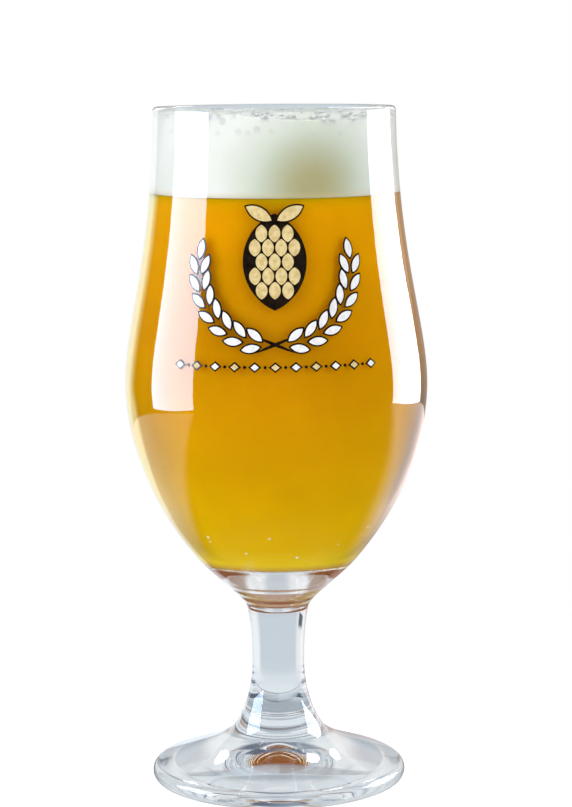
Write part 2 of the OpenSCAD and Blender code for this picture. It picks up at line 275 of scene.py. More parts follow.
def makeBeerFoam(low, high, look):
    # wet froth: tiny bubbles scatter all light to white, and the drink shows through it low down in front,
    # with painted olive shade where the lamps reach it least
    material, tree = newMaterial("beer froth")
    where = addNode(tree, "ShaderNodeTexCoord").outputs["Object"]
    height = addNode(tree, "ShaderNodeSeparateXYZ", {"Vector": where}).outputs["Z"]
    patch = addNode(tree, "ShaderNodeTexNoise", {
        "Vector": where, "Scale": 1 / (look["patchSize"] * mm), "Detail": 2.0})
    tone = addNode(tree, "ShaderNodeValToRGB", {"Fac": patch.outputs["Fac"]})
    fillRamp(tone, look["patch"])
    # painted shade: an olive spot low in front, right of centre, where the lamps reach least, with the
    # drink's colour in it
    x, y, up = look["shadeSpotAt"]
    thin = addNode(tree, "ShaderNodeVectorMath", (where, Vector((x, y, low + up)) * mm),
                   operation="DISTANCE").outputs["Value"]
    veil = blend(tree, thin, *metres(look["veil"]), linear(look["shadeVeilTone"]), tone.outputs["Color"])
    cast = blend(tree, thin, *metres(look["cast"]), linear(look["shadeCastTone"]), veil)
    # partly the drink that wets the froth's foot, partly painted light from the drink below
    drain = addNode(tree, "ShaderNodeMapRange", (
        height, low * mm, (low + look["drain"]) * mm, look["drainShare"], 0.0),
        interpolation_type="SMOOTHSTEP").outputs["Result"]
    color = addNode(tree, "ShaderNodeMix", {0: drain, 6: cast, 7: linear(look["drainAndGlowTone"])},
                    data_type="RGBA").outputs[2]
    # a few large bubbles press against the glass under the top and look darker
    large = addNode(tree, "ShaderNodeTexVoronoi", {"Vector": where, "Scale": 1 / (look["discGap"] * mm)})
    disc = addNode(tree, "ShaderNodeMapRange", (large.outputs["Distance"], *look["disc"]),
                   interpolation_type="SMOOTHSTEP").outputs["Result"]
    pick = addNode(tree, "ShaderNodeSeparateColor", {"Color": large.outputs["Color"]}).outputs["Red"]
    some = addNode(tree, "ShaderNodeMath", (pick, look["discShare"]), operation="GREATER_THAN").outputs[0]
    band = addNode(tree, "ShaderNodeMapRange", (
        height, *metres(high - drop for drop in look["discBand"]))).outputs["Result"]
    dark = addNode(tree, "ShaderNodeMath", (disc, some), operation="MULTIPLY").outputs[0]
    seen = addNode(tree, "ShaderNodeMath", (dark, band), operation="MULTIPLY").outputs[0]
    color = addNode(tree, "ShaderNodeMix", {0: seen, 6: color, 7: linear(look["discTone"])},
                    data_type="RGBA").outputs[2]
    bubbles = addNode(tree, "ShaderNodeTexVoronoi", {"Vector": where, "Scale": 1 / (look["bubbleSize"] * mm)})
    bump = addNode(tree, "ShaderNodeBump", {
        "Height": bubbles.outputs["Distance"], "Strength": 0.5, "Distance": look["bubbleDepth"] * mm},
        invert=True)
    skin = addNode(tree, "ShaderNodeBsdfPrincipled", {
        "Base Color": color, "Roughness": 0.55, "IOR": beerIor, "Specular IOR Level": 0.2,
        "Subsurface Weight": 0.6, "Subsurface Radius": look["scatter"],
        "Subsurface Scale": look["scatterDepth"] * mm, "Normal": bump.outputs["Normal"]})
    addNode(tree, "ShaderNodeOutputMaterial", {"Surface": skin.outputs["BSDF"]})
    return material


def makeEnamel(name, ink, thin, grain=1.2, relief=0.02):
    # screen-printed glass enamel, fired to a gloss, with the mesh's faint unevenness in its cover, in mm
    material, tree = newMaterial(name)
    where = addNode(tree, "ShaderNodeTexCoord").outputs["Object"]
    cover = addNode(tree, "ShaderNodeTexNoise", {
        "Vector": where, "Scale": 1 / (grain * mm), "Detail": 3.0}).outputs["Fac"]
    tone = addNode(tree, "ShaderNodeValToRGB", {"Fac": cover})
    fillRamp(tone, [(0.35, thin), (0.6, ink)])
    bump = addNode(tree, "ShaderNodeBump", {"Height": cover, "Strength": 0.3, "Distance": relief * mm})
    skin = addNode(tree, "ShaderNodeBsdfPrincipled", {
        "Base Color": tone.outputs["Color"], "Roughness": 0.22, "IOR": 1.5, "Normal": bump.outputs["Normal"]})
    addNode(tree, "ShaderNodeOutputMaterial", {"Surface": skin.outputs["BSDF"]})
    return material


# Turned pieces: an outline of curve knots, spun about the axis

nowhere = -1000    # mm, a height that no piece has
turnSize = dict(
    sides=192, crease=28,                # degrees
    weld=0.001, seamSlack=0.01,          # mm
    upward=0.5, flat=0.999,              # by how far a face's normal points up
)


def makeTurning(size):
    tree = newTree("turn on axis", dict(
        Geometry=["Outline"], Int=["Sides"], Float=["Crease", "Low seam", "High seam", "Wet below"],
        Material=["Skin", "Wet", "Seam"]), "Turned")
    given = addNode(tree, "NodeGroupInput").outputs
    # each point of a grid takes its row's knot and turns it by its column's angle
    knots = addNode(tree, "GeometryNodeCurveToPoints", {"Curve": given["Outline"]}, mode="EVALUATED")
    points = knots.outputs["Points"]
    rows = addNode(tree, "GeometryNodeAttributeDomainSize", (points,),
                   component="POINTCLOUD").outputs["Point Count"]
    columns = addNode(tree, "ShaderNodeMath", (given["Sides"], 1.0), operation="ADD").outputs[0]
    sheet = addNode(tree, "GeometryNodeMeshGrid", {"Vertices X": columns, "Vertices Y": rows})
    number = addNode(tree, "GeometryNodeInputIndex").outputs["Index"]
    row = addNode(tree, "ShaderNodeMath", (number, rows), operation="FLOORED_MODULO").outputs[0]
    step = addNode(tree, "ShaderNodeMath", (number, rows), operation="DIVIDE").outputs[0]
    column = addNode(tree, "ShaderNodeMath", (step,), operation="FLOOR").outputs[0]
    part = addNode(tree, "ShaderNodeMath", (column, given["Sides"]), operation="DIVIDE").outputs[0]
    angle = addNode(tree, "ShaderNodeMath", (part, math.tau), operation="MULTIPLY").outputs[0]
    place = addNode(tree, "GeometryNodeInputPosition").outputs["Position"]
    knot = addNode(tree, "GeometryNodeSampleIndex", {"Geometry": points, "Value": place, "Index": row},
                   data_type="FLOAT_VECTOR").outputs["Value"]
    spun = addNode(tree, "ShaderNodeVectorRotate", {"Vector": knot, "Angle": angle}, rotation_type="Z_AXIS")
    moved = addNode(tree, "GeometryNodeSetPosition", {
        "Geometry": sheet.outputs["Mesh"], "Position": spun.outputs["Vector"]})
    closed = addNode(tree, "GeometryNodeMergeByDistance", {
        "Geometry": moved.outputs[0], "Distance": size["weld"] * mm})
    bend = addNode(tree, "GeometryNodeInputMeshEdgeAngle").outputs["Unsigned Angle"]
    sharp = addNode(tree, "FunctionNodeCompare", (bend, given["Crease"]), operation="GREATER_THAN")
    smooth = addNode(tree, "GeometryNodeSetShadeSmooth", {
        "Geometry": closed.outputs[0], "Shade Smooth": True}, domain="FACE")
    creased = addNode(tree, "GeometryNodeSetShadeSmooth", {
        "Geometry": smooth.outputs[0], "Selection": sharp.outputs[0], "Shade Smooth": False}, domain="EDGE")
    # faces that look at the axis or up, below the wet line, are wetted
    level = addNode(tree, "ShaderNodeSeparateXYZ", {"Vector": place}).outputs["Z"]
    normal = addNode(tree, "GeometryNodeInputNormal").outputs["Normal"]
    facing = addNode(tree, "ShaderNodeSeparateXYZ", {"Vector": normal}).outputs["Z"]
    aside = addNode(tree, "ShaderNodeVectorMath", (place, (1, 1, 0)), operation="MULTIPLY").outputs[0]
    outward = addNode(tree, "ShaderNodeVectorMath", (aside, normal), operation="DOT_PRODUCT").outputs["Value"]
    inward = addNode(tree, "FunctionNodeCompare", (outward, 0.0), operation="LESS_THAN").outputs[0]
    upward = addNode(tree, "FunctionNodeCompare", (facing, size["upward"]),
                     operation="GREATER_THAN").outputs[0]
    inside = addNode(tree, "FunctionNodeBooleanMath", (inward, upward), operation="OR").outputs[0]
    under = addNode(tree, "FunctionNodeCompare", (level, given["Wet below"]),
                    operation="LESS_THAN").outputs[0]
    wetted = addNode(tree, "FunctionNodeBooleanMath", (inside, under), operation="AND").outputs[0]
    # flat faces at a seam's height are fused
    slope = addNode(tree, "ShaderNodeMath", (facing,), operation="ABSOLUTE").outputs[0]
    flat = addNode(tree, "FunctionNodeCompare", (slope, size["flat"]), operation="GREATER_THAN").outputs[0]
    atSeam = [addNode(tree, "FunctionNodeCompare", {
        0: level, 1: given[seam], "Epsilon": size["seamSlack"] * mm}, operation="EQUAL").outputs[0]
        for seam in ("Low seam", "High seam")]
    either = addNode(tree, "FunctionNodeBooleanMath", atSeam, operation="OR").outputs[0]
    fused = addNode(tree, "FunctionNodeBooleanMath", (either, flat), operation="AND").outputs[0]
    real = addNode(tree, "GeometryNodeRealizeInstances", {"Geometry": creased.outputs[0]})
    skin = addNode(tree, "GeometryNodeSetMaterial", {"Geometry": real.outputs[0], "Material": given["Skin"]})
    wet = addNode(tree, "GeometryNodeSetMaterial", {
        "Geometry": skin.outputs[0], "Selection": wetted, "Material": given["Wet"]})
    seamed = addNode(tree, "GeometryNodeSetMaterial", {
        "Geometry": wet.outputs[0], "Selection": fused, "Material": given["Seam"]})
    addNode(tree, "NodeGroupOutput", {"Turned": seamed.outputs[0]})
    return tree


turning = makeTurning(turnSize)


def setInputs(modifier, values):
    sockets = {item.name: item.identifier for item in modifier.node_group.interface.items_tree
               if item.in_out == "INPUT"}
    for name, value in values.items():
        modifier[sockets[name]] = value


def bake(holder, name):
    depsgraph = bpy.context.evaluated_depsgraph_get()
    mesh = bpy.data.meshes.new_from_object(holder.evaluated_get(depsgraph))
    bpy.data.objects.remove(holder)
    mesh.name = name
    used = {face.material_index for face in mesh.polygons}
    for slot in reversed(range(len(mesh.materials))):
        if slot not in used:
            mesh.materials.pop(index=slot)
    piece = bpy.data.objects.new(name, mesh)
    scene.collection.objects.link(piece)
    return piece


def along(lean, length):
    # a step up (or down, if negative) a line that leans outwards by this share of its height
    return lean * length / math.hypot(lean, 1), length / math.hypot(lean, 1)


def makeTurned(name, knots, skin, steps=32, seams=(), wet=None, wetBelow=nowhere):
    # a knot is (radius, height), then the pull before it and the pull after it, or None for a straight run
    curve = bpy.data.curves.new(name, "CURVE")
    curve.dimensions = "3D"
    curve.resolution_u = steps
    spline = curve.splines.new("BEZIER")
    spline.bezier_points.add(len(knots) - 1)
    for point, ((radius, height), before, after) in zip(spline.bezier_points, knots):
        point.co = (radius * mm, 0, height * mm)
        for side, pull in (("left", before), ("right", after)):
            setattr(point, f"handle_{side}_type", "FREE" if pull else "VECTOR")
            if pull:
                setattr(point, f"handle_{side}", ((radius + pull[0]) * mm, 0, (height + pull[1]) * mm))
    holder = bpy.data.objects.new(name, curve)
    scene.collection.objects.link(holder)
    modifier = holder.modifiers.new("turn on axis", "NODES")
    modifier.node_group = turning
    setInputs(modifier, {
        "Sides": turnSize["sides"], "Crease": math.radians(turnSize["crease"]),
        "Low seam": min(seams, default=nowhere) * mm, "High seam": max(seams, default=nowhere) * mm,
        "Wet below": wetBelow * mm, "Skin": skin, "Wet": wet or skin, "Seam": fusedSeam})
    return bake(holder, name)


def seat(piece, slot, *nodes):
    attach(piece, "root")
    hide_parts(*nodes)


def clearTheWay(piece):
    # soft light reaches the drink and the floor through clear glass as if it were not there
    piece.visible_shadow = False
    piece.visible_diffuse = False


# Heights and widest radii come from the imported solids, in mm
bowlLow, bowlHigh = [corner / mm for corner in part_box("bowl")]
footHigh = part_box("foot")[1] / mm
beerLow, beerHigh = [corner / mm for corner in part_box("beer")]
foamLow, foamHigh = [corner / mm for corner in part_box("foam_head")]
fusedSeam = makeFusedSeam()
quarter = 0.5523    # pull of a quarter circle, as a share of its radius

bowlSize = dict(
    rim=31.8, rimWall=2.1, rimPull=38.6, rimLean=-0.017,       # mm, radii and pulls along the outline
    bellyZ=107, bellyUp=16, bellyDown=8.7, wall=2.2,
    flank=21.1, flankZ=59.9, flankLean=0.85, flankUp=25.3, flankDown=6.6,
    neck=8.1, neckLean=0.177, neckUp=3.5,
    insideDown=13, floorFlat=15, floorPull=8.5,
    rings=dict(low=50, high=56, pitch=2.2, depth=0.1),
    waveSize=30, tint="#F2F6F8", wetTint="#FFFFFF", steps=40,
)


def insideKnots(size, grip=0.0):
    # the inner wall from the rim to the floor; a filling stays a hair inside it
    return [
        ((size["rim"] - size["rimWall"] + grip, bowlHigh.z - size["rimWall"] / 2), None,
         along(size["rimLean"], -size["rimPull"])),
        ((bowlHigh.x - size["wall"] + grip, size["bellyZ"]), (0, size["bellyUp"]), (0, -size["insideDown"])),
        ((size["floorFlat"] + grip, beerLow.z - grip), (size["floorPull"], 0), None),
        ((0, beerLow.z - grip), None, None),
    ]


def makeBowl(size):
    rimZ = bowlHigh.z - size["rimWall"] / 2
    roundPull = quarter * size["rimWall"] / 2
    knots = [
        ((0, bowlLow.z), None, None),
        ((size["neck"], bowlLow.z), None, along(size["neckLean"], size["neckUp"])),
        ((size["flank"], size["flankZ"]), along(size["flankLean"], -size["flankDown"]),
         along(size["flankLean"], size["flankUp"])),
        ((bowlHigh.x, size["bellyZ"]), (0, -size["bellyDown"]), (0, size["bellyUp"])),
        ((size["rim"], rimZ), along(size["rimLean"], -size["rimPull"]), (0, roundPull)),
        ((size["rim"] - size["rimWall"] / 2, bowlHigh.z), (roundPull, 0), (-roundPull, 0)),
    ]
    inside = insideKnots(size)
    inside[0] = (inside[0][0], (0, roundPull), inside[0][2])
    # where beer wets the wall, light bends by the ratio of the two and shows the drink up to the wall
    wet = makeClearGlass("glass wetted by beer", size["wetTint"], size["waveSize"], ior=glassIor / beerIor)
    blown = makeClearGlass("blown glass", size["tint"], size["waveSize"], rings=size["rings"])
    bowl = makeTurned("tulip_bowl", knots + inside, blown, steps=size["steps"], seams=[bowlLow.z],
                      wet=wet, wetBelow=foamHigh.z)
    seat(bowl, "clear_glass", "bowl")
    clearTheWay(bowl)


makeBowl(bowlSize)
print("bowl done")

stemSize = dict(
    waist=7.0, waistZ=31.4, waistUp=5.7, waistDown=8.0, neckDown=5.4,      # mm
    base=13.5, baseLean=-1.4, baseUp=4.2, baseDown=4.6,
    waveSize=18, tint="#EEF3F6",
)
pressedGlass = makeClearGlass("pressed glass", stemSize["tint"], stemSize["waveSize"])


def makeStem(size):
    knots = [
        ((0, footHigh.z), None, None),
        ((size["base"], footHigh.z), None, along(size["baseLean"], size["baseUp"])),
        ((size["waist"], size["waistZ"]), (0, -size["waistDown"]), (0, size["waistUp"])),
        ((bowlSize["neck"], bowlLow.z), along(bowlSize["neckLean"], -size["neckDown"]), None),
        ((0, bowlLow.z), None, None),
    ]
    stem = makeTurned("drawn_stem", knots, pressedGlass, seams=[footHigh.z, bowlLow.z])
    seat(stem, "clear_glass", "stem")
    clearTheWay(stem)


makeStem(stemSize)

footSize = dict(
    edgeH=4.3, edgeInset=1.95, edgeMid=2.0, slopeLean=-2.87, slopePull=11.4,      # mm
    restInset=1.5, restW=5.0, hollowH=5.7, hollowRound=2.9, hollowPull=0.5, roundShare=0.55,
)


def makeFoot(size):
    side = footHigh.x
    rest = side - size["restInset"]
    hollow = rest - size["restW"]
    edge = side - size["edgeInset"]
    soft = size["roundShare"]
    pull = size["hollowPull"]
    aboveMid = size["edgeH"] - size["edgeMid"]
    knots = [
        ((0, size["hollowH"]), None, (size["hollowRound"], 0)),
        ((hollow, 0), (pull * (size["hollowRound"] - hollow), pull * size["hollowH"]), None),
        ((rest, 0), None, (size["restInset"] * soft, 0)),
        ((side, size["edgeMid"]), (0, -size["edgeMid"] * soft), (0, aboveMid * soft)),
        ((edge, size["edgeH"]), along(size["slopeLean"], -size["edgeInset"] * soft),
         along(size["slopeLean"], size["slopePull"])),
        ((stemSize["base"], footHigh.z), along(stemSize["baseLean"], -stemSize["baseDown"]), None),
        ((0, footHigh.z), None, None),
    ]
    foot = makeTurned("pressed_foot", knots, pressedGlass, seams=[footHigh.z])
    seat(foot, "clear_glass", "foot")
    clearTheWay(foot)


makeFoot(footSize)
print("stem and foot done")

beerSize = dict(grip=-0.04, steps=40)    # mm clear of the wall


def splitWall(height, grip):
    # the upper wall's curve, cut at this height: the pull up from the belly, the pull before the cut, the cut
    lip, belly = insideKnots(bowlSize, grip)[:2]
    a, b, c, d = [Vector(p) for p in (belly[0], (belly[0][0], belly[0][1] + belly[1][1]),
                                      (lip[0][0] + lip[2][0], lip[0][1] + lip[2][1]), lip[0])]
    low, high = 0.0, 1.0
    for _ in range(40):    # halvings
        t = (low + high) / 2
        ab, bc, cd = a.lerp(b, t), b.lerp(c, t), c.lerp(d, t)
        abc, bcd = ab.lerp(bc, t), bc.lerp(cd, t)
        end = abc.lerp(bcd, t)
        low, high = (t, high) if end.y < height else (low, t)
    return ab - a, abc - end, end


def makeBeer(size):
    up, back, top = splitWall(beerHigh.z, size["grip"])
    middle, floor, belly = insideKnots(bowlSize, size["grip"])[:0:-1]
    knots = [
        middle,
        (floor[0], None, floor[1]),
        (belly[0], belly[2], tuple(up)),
        (tuple(top), tuple(back), None),
        ((0, beerHigh.z), None, None),
    ]
    skin = makeHazyBeer(beerLow.z, beerHigh.z, beerLook)
    beer = makeTurned("hazy_beer", knots, skin, steps=size["steps"])
    seat(beer, "beer", "beer")


makeBeer(beerSize)

foamSize = dict(
    grip=-0.04, dishZ=174.3, dish=23.0, collar=1.2,                   # mm
    sink=1.5, sinkSide=(0.62, -0.78, 0), sinkFrom=(14, 29),           # mm, the edge sinks towards this side
    lump=7, lumpDepth=0.35,                                           # mm
    bubble=0.85, bubbleGap=0.35, density=0.6, smallest=0.35,          # mm, and bubbles to the square mm
    rarity=3.0, seed=4, ballSides=10, ballRings=6, upward=0.2,
)


def makeFrothing(size):
    # the foam's edge sinks a little on one side, and bubbles of many sizes sit on its top
    tree = newTree("froth", dict(
        Geometry=["Foam"], Float=["Top", "Dish", "Wall", "Sink", "Largest", "Density"], Int=["Seed"],
        Material=["Skin"]), "Froth")
    given = addNode(tree, "NodeGroupInput").outputs
    place = addNode(tree, "GeometryNodeInputPosition").outputs["Position"]
    level = addNode(tree, "ShaderNodeSeparateXYZ", {"Vector": place}).outputs["Z"]
    toSide = addNode(tree, "ShaderNodeVectorMath", (place, size["sinkSide"]),
                     operation="DOT_PRODUCT").outputs["Value"]
    low = addNode(tree, "ShaderNodeMapRange", (toSide, *metres(size["sinkFrom"])),
                  interpolation_type="SMOOTHSTEP").outputs["Result"]
    rough = addNode(tree, "ShaderNodeTexNoise", {
        "Vector": place, "Scale": 1 / (size["lump"] * mm), "Detail": 2.0}).outputs["Fac"]
    uneven = addNode(tree, "ShaderNodeMath", (rough, size["lumpDepth"] * mm), operation="MULTIPLY").outputs[0]
    depth = addNode(tree, "ShaderNodeMath", (low, given["Sink"], uneven), operation="MULTIPLY_ADD").outputs[0]
    edge = addNode(tree, "ShaderNodeMapRange", (level, given["Dish"], given["Top"], 0.0, -1.0))
    down = addNode(tree, "ShaderNodeMath", (depth, edge.outputs["Result"]), operation="MULTIPLY").outputs[0]
    drop = addNode(tree, "ShaderNodeCombineXYZ", {"Z": down}).outputs[0]
    sunk = addNode(tree, "GeometryNodeSetPosition", {"Geometry": given["Foam"], "Offset": drop}).outputs[0]
    normal = addNode(tree, "GeometryNodeInputNormal").outputs["Normal"]
    facing = addNode(tree, "ShaderNodeSeparateXYZ", {"Vector": normal}).outputs["Z"]
    upward = addNode(tree, "FunctionNodeCompare", (facing, size["upward"]),
                     operation="GREATER_THAN").outputs[0]
    points = addNode(tree, "GeometryNodeDistributePointsOnFaces", {
        "Mesh": sunk, "Selection": upward, "Distance Min": size["bubbleGap"] * mm,
        "Density Max": given["Density"], "Seed": given["Seed"]}, distribute_method="POISSON")
    chance = addNode(tree, "FunctionNodeRandomValue", {2: size["smallest"], 3: 1.0, "Seed": given["Seed"]},
                     data_type="FLOAT").outputs[1]
    rare = addNode(tree, "ShaderNodeMath", (chance, size["rarity"]), operation="POWER").outputs[0]
    radius = addNode(tree, "ShaderNodeMath", (rare, given["Largest"]), operation="MULTIPLY").outputs[0]
    # a bubble stays under the top of the foam and clear of the glass
    roof = addNode(tree, "ShaderNodeMath", (given["Top"], radius), operation="SUBTRACT").outputs[0]
    height = addNode(tree, "ShaderNodeMath", (level, roof), operation="MINIMUM").outputs[0]
    flat = addNode(tree, "ShaderNodeVectorMath", (place, (1, 1, 0)), operation="MULTIPLY").outputs[0]
    out = addNode(tree, "ShaderNodeVectorMath", (flat,), operation="LENGTH").outputs["Value"]
    room = addNode(tree, "ShaderNodeMath", (given["Wall"], radius), operation="SUBTRACT").outputs[0]
    share = addNode(tree, "ShaderNodeMath", (room, out), operation="DIVIDE").outputs[0]
    most = addNode(tree, "ShaderNodeMath", (share, 1.0), operation="MINIMUM").outputs[0]
    inside = addNode(tree, "ShaderNodeVectorMath", {0: flat, "Scale": most}, operation="SCALE").outputs[0]
    lift = addNode(tree, "ShaderNodeCombineXYZ", {"Z": height}).outputs[0]
    spot = addNode(tree, "ShaderNodeVectorMath", (inside, lift), operation="ADD").outputs[0]
    kept = addNode(tree, "GeometryNodeSetPosition", {"Geometry": points.outputs["Points"], "Position": spot})
    ball = addNode(tree, "GeometryNodeMeshUVSphere", {
        "Segments": size["ballSides"], "Rings": size["ballRings"], "Radius": 1.0})
    many = addNode(tree, "GeometryNodeInstanceOnPoints", {
        "Points": kept.outputs[0], "Instance": ball.outputs["Mesh"], "Scale": radius})
    joined = addNode(tree, "GeometryNodeJoinGeometry")
    for part in (sunk, many.outputs[0]):
        tree.links.new(part, joined.inputs[0])
    real = addNode(tree, "GeometryNodeRealizeInstances", {"Geometry": joined.outputs[0]})
    smooth = addNode(tree, "GeometryNodeSetShadeSmooth", {"Geometry": real.outputs[0]}, domain="FACE")
    skin = addNode(tree, "GeometryNodeSetMaterial", {
        "Geometry": smooth.outputs[0], "Material": given["Skin"]})
    addNode(tree, "NodeGroupOutput", {"Froth": skin.outputs[0]})
    return tree


def makeFoam(size):
    low = splitWall(foamLow.z, size["grip"])[2]
    high = splitWall(foamHigh.z, size["grip"])[2]
    ring = high.x - size["collar"]
    middle = (size["dish"] + ring) / 2
    rise = (high - low) / 3
    knots = [
        ((0, foamLow.z), None, None),
        (tuple(low), None, tuple(rise)),
        (tuple(high), tuple(-rise), None),
        ((ring, foamHigh.z), None, (middle - ring, 0)),
        ((size["dish"], size["dishZ"]), (middle - size["dish"], 0), None),
        ((0, size["dishZ"]), None, None),
    ]
    skin = makeBeerFoam(foamLow.z, foamHigh.z, foamLook)
    holder = makeTurned("turned foam", knots, skin)
    modifier = holder.modifiers.new("froth", "NODES")
    modifier.node_group = makeFrothing(size)
    setInputs(modifier, {
        "Top": foamHigh.z * mm, "Dish": size["dishZ"] * mm, "Wall": high.x * mm, "Sink": size["sink"] * mm,
        "Largest": size["bubble"] * mm, "Density": size["density"] / mm ** 2, "Seed": size["seed"],
        "Skin": skin})
    foam = bake(holder, "foam_head_froth")
    seat(foam, "foam", "foam_head")


makeFoam(foamSize)
print("beer and foam done")

# The enamel print keeps its solids and gets its finish here
inks = dict(
    print_white=("white enamel", "#F2F2F4", "#E4E3E6"),
    print_cream=("cream enamel", "#E2CE98", "#CDB478"),
    print_black=("black enamel", "#120C08", "#241A12"),
)
for node, (name, ink, thin) in inks.items():
    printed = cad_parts[node]
    printed.data.materials.clear()
    printed.data.materials.append(makeEnamel(name, ink, thin))
print("print done")

# Studio: white sweep, dark room beside it, tall softboxes for the stripes, round ones for the sparks in the
# foot, and panels for soft light. Lengths are in mm, other pairs are parts of a direction
studio = dict(
    floorSize=40000, floorGap=0.05, floorTone="#E8E9EA", floorGlow=0.38, sweep=(60, 220), underTone="#34383C",
    underFacing=(0.05, 0.1), underStart=(13, 19),
    tableSpot="#B4BBC2", spotBack=9, spotWide=(6, 24), tableNear="#F2F6F9", nearWide=(40, 110),
    tableFront="#C8CFD5", tableTurn=(-40, 40), tableBack="#DAE0E6", wedge=(0.45, 0.6),
    flagTone="#5A6068", flagAt=-0.68, flagWide=(0.06, 0.12), flagStart=(330, 600),
    leftGlow=1.4, leftLean=0.75, leftStart=(72, 108), sideLeft="#DCE4EC",
    rightGlow=2.0, rightStart=(10, 90), rightReach=0.25, rightEarly=0.05, sideRight="#F8E6E4",
    sideStart=(50, 110), sideEnd=(430, 445), poolGlow=0.12, poolWide=(34, 80),
    backTone="#FFFFFF", backStart=(0.76, 0.84), backGlow=(1.3, 0.5),
    skyBack="#D2D9DF", skyWedge=(0.06, 0.16), skySide="#C6B2A6", skySideStart=(0.27, 0.36),
    skySideEnd=(0.53, 0.62), frontTone="#BCC4CA", frontSide="#5A6274", frontWide=(0.3, 0.6),
    frontLeft=(-0.83, -0.79), roomTurn=(-0.2, 0.6), ceilingLeft="#9AA3AE", ceilingRight="#6A7284",
    ceilingTurn=(-0.3, 0.3), ceilingStart=(0.45, 0.65), ceilingTop=(0.82, 0.9),
    mirrorFront="#0C0D0F", mirrorLeft="#FFFFFF", mirrorRight="#FFEADF", mirrorTurn=(-0.1, 0.1),
    mirrorMiddle="#7C8288", middleWide=(0.15, 0.35), fillBack="#DCDCDC", fillFront="#8C8C8C",
)
# Lamps: degrees round from the front, mm from the axis, sizes and lower edge in mm, brightness
softboxes = dict(
    leftStripe=dict(azimuth=-81, away=283, wide=210, tall=235, low=44, level=13.5, tone="#C4DEFF"),
    rightStripe=dict(azimuth=114, away=283, wide=216, tall=209, low=52, level=12.5, tone="#D4E6FF"),
    leftSpark=dict(azimuth=-151.4, away=305, wide=34, tall=80, low=230, level=6, tone="#FFFFFF"),
    rightSpark=dict(azimuth=151.4, away=305, wide=30, tall=70, low=230, level=6, tone="#FFFFFF"),
    highSpark=dict(azimuth=151, away=215, wide=46, tall=150, low=280, level=7, tone="#FFFFFF"),
)
panels = dict(
    leftPanel=dict(azimuth=-55, away=420, wide=380, tall=380, low=20, level=2.75, tone="#FFFFFF"),
    rightPanel=dict(azimuth=45, away=420, wide=380, tall=320, low=80, level=2.55, tone="#FFFFFF"),
    topPanel=dict(azimuth=0, away=0, wide=400, tall=400, low=300, level=1.6, tone="#FFFFFF"),
)
lightTurns = 40    # light turns many times inside the solid stem and foot


def mirrorRay(tree, path):
    # a ray that was mirrored and not let through
    return addNode(tree, "ShaderNodeMath", (path["Is Glossy Ray"], path["Is Transmission Ray"]),
                   operation="SUBTRACT", use_clamp=True).outputs[0]


